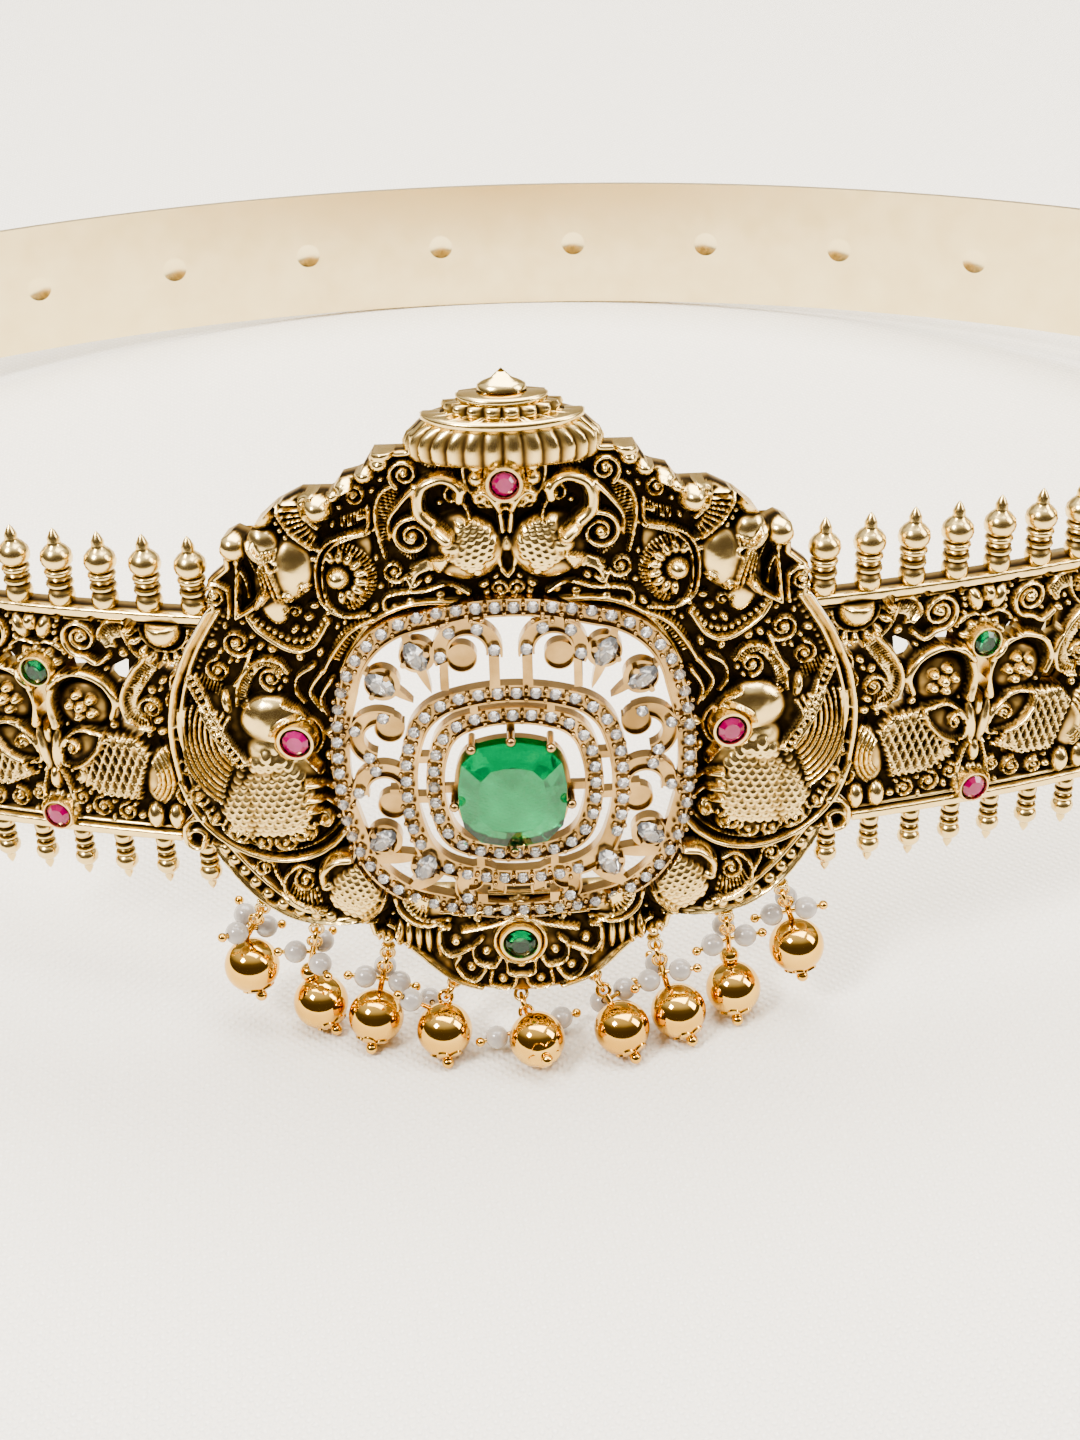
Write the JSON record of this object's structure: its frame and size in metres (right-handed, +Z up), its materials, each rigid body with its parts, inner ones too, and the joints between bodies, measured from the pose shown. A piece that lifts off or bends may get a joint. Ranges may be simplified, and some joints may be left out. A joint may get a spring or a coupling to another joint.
{
  "type": "oddiyanam waist belt",
  "caption": "Rigid temple waist belt: a plain polished ring with a relief medallion, pierced side bands, a stone-set frame and hanging gold beads and pearls.",
  "frame": {"origin": "on the table, under the middle of the bounding box of the belt as it rests", "axes": "+Z up from the table; the medallion faces -Y; X runs along the front of the belt"},
  "size_m": [0.3197, 0.2223, 0.0866],
  "materials": {
    "antique_gold": "cast, dark in the recesses, rubbed bright on the relief",
    "frame_gold": "polished",
    "bead_gold": "mirror polished",
    "strip_gold": "polished",
    "pave_stone": "cut and polished",
    "clear_stone": "cut and polished",
    "green_stone": "cut and polished",
    "red_stone": "cut and polished",
    "pearl": "pearl lustre"
  },
  "bodies": {
    "root": {"medallion": "antique_gold", "band_left": "antique_gold", "band_right": "antique_gold", "cz_frame": "frame_gold", "pave_stones": "pave_stone", "emerald": "green_stone", "bowl_emerald": "green_stone", "band_left_green": "green_stone", "band_right_green": "green_stone", "ruby_crown": "red_stone", "ruby_left_eye": "red_stone", "ruby_right_eye": "red_stone", "band_left_red": "red_stone", "band_right_red": "red_stone", "strip_long": "strip_gold", "strip_short": "strip_gold", "clasp": "strip_gold", "pearls": "pearl", "clear_stone_1": "clear_stone", "clear_stone_2": "clear_stone", "clear_stone_3": "clear_stone", "clear_stone_4": "clear_stone", "clear_stone_5": "clear_stone", "clear_stone_6": "clear_stone", "clear_stone_7": "clear_stone", "clear_stone_8": "clear_stone", "gold_bead_1": "bead_gold", "gold_bead_2": "bead_gold", "gold_bead_3": "bead_gold", "gold_bead_4": "bead_gold", "gold_bead_5": "bead_gold", "gold_bead_6": "bead_gold", "gold_bead_7": "bead_gold", "gold_bead_8": "bead_gold", "gold_bead_9": "bead_gold", "jump_ring_1": "bead_gold", "jump_ring_2": "bead_gold", "jump_ring_3": "bead_gold", "jump_ring_4": "bead_gold", "jump_ring_5": "bead_gold", "jump_ring_6": "bead_gold", "jump_ring_7": "bead_gold", "jump_ring_8": "bead_gold", "jump_ring_9": "bead_gold"}
  },
  "joints": []
}
